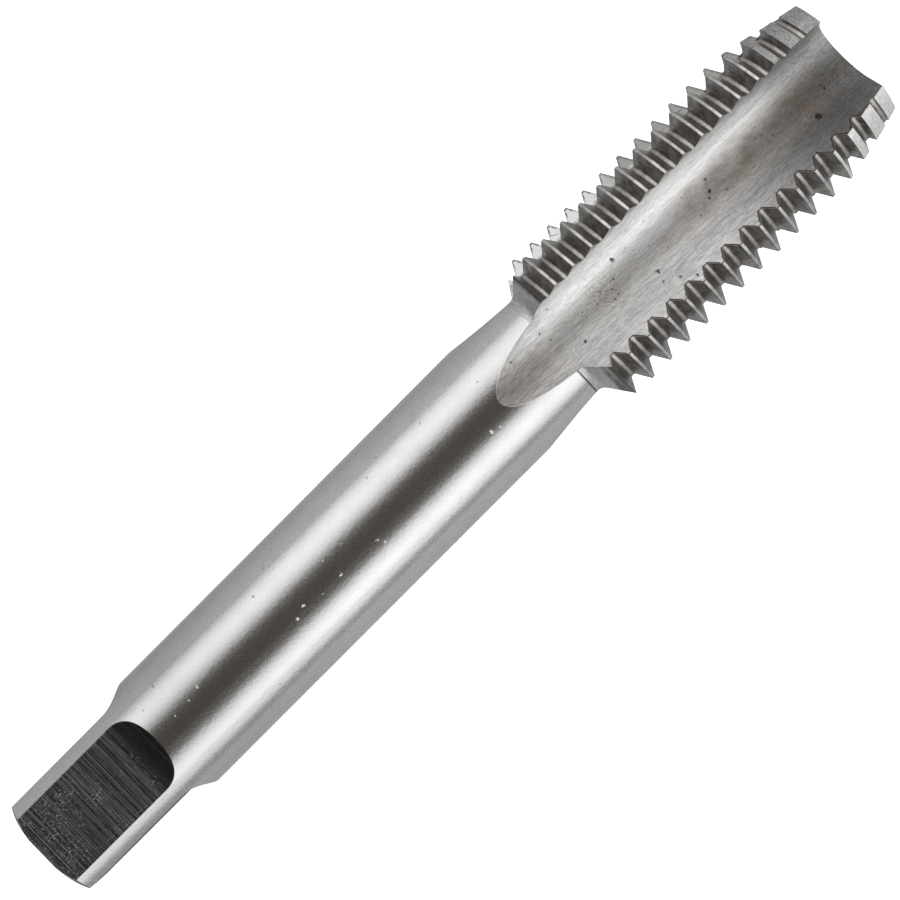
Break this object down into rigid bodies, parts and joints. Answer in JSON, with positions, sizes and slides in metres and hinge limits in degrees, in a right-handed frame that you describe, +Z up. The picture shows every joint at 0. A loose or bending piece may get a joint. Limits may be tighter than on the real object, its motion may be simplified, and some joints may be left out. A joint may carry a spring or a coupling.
{
  "type": "thread tap",
  "caption": "Straight-fluted hand tap with a round shank and a square drive, for cutting a coarse metric screw thread.",
  "frame": {"origin": "On the bench, below the middle of the tool's bounding box, as it lies at rest.", "axes": "+X runs from the square drive to the cutting end, rising 1.6 degrees; +Z is up from the bench; +Y is across."},
  "size_m": [0.1116, 0.0176, 0.0182],
  "materials": {
    "steel": "ground and worn"
  },
  "bodies": {
    "root": {"tap": "steel"}
  },
  "joints": []
}
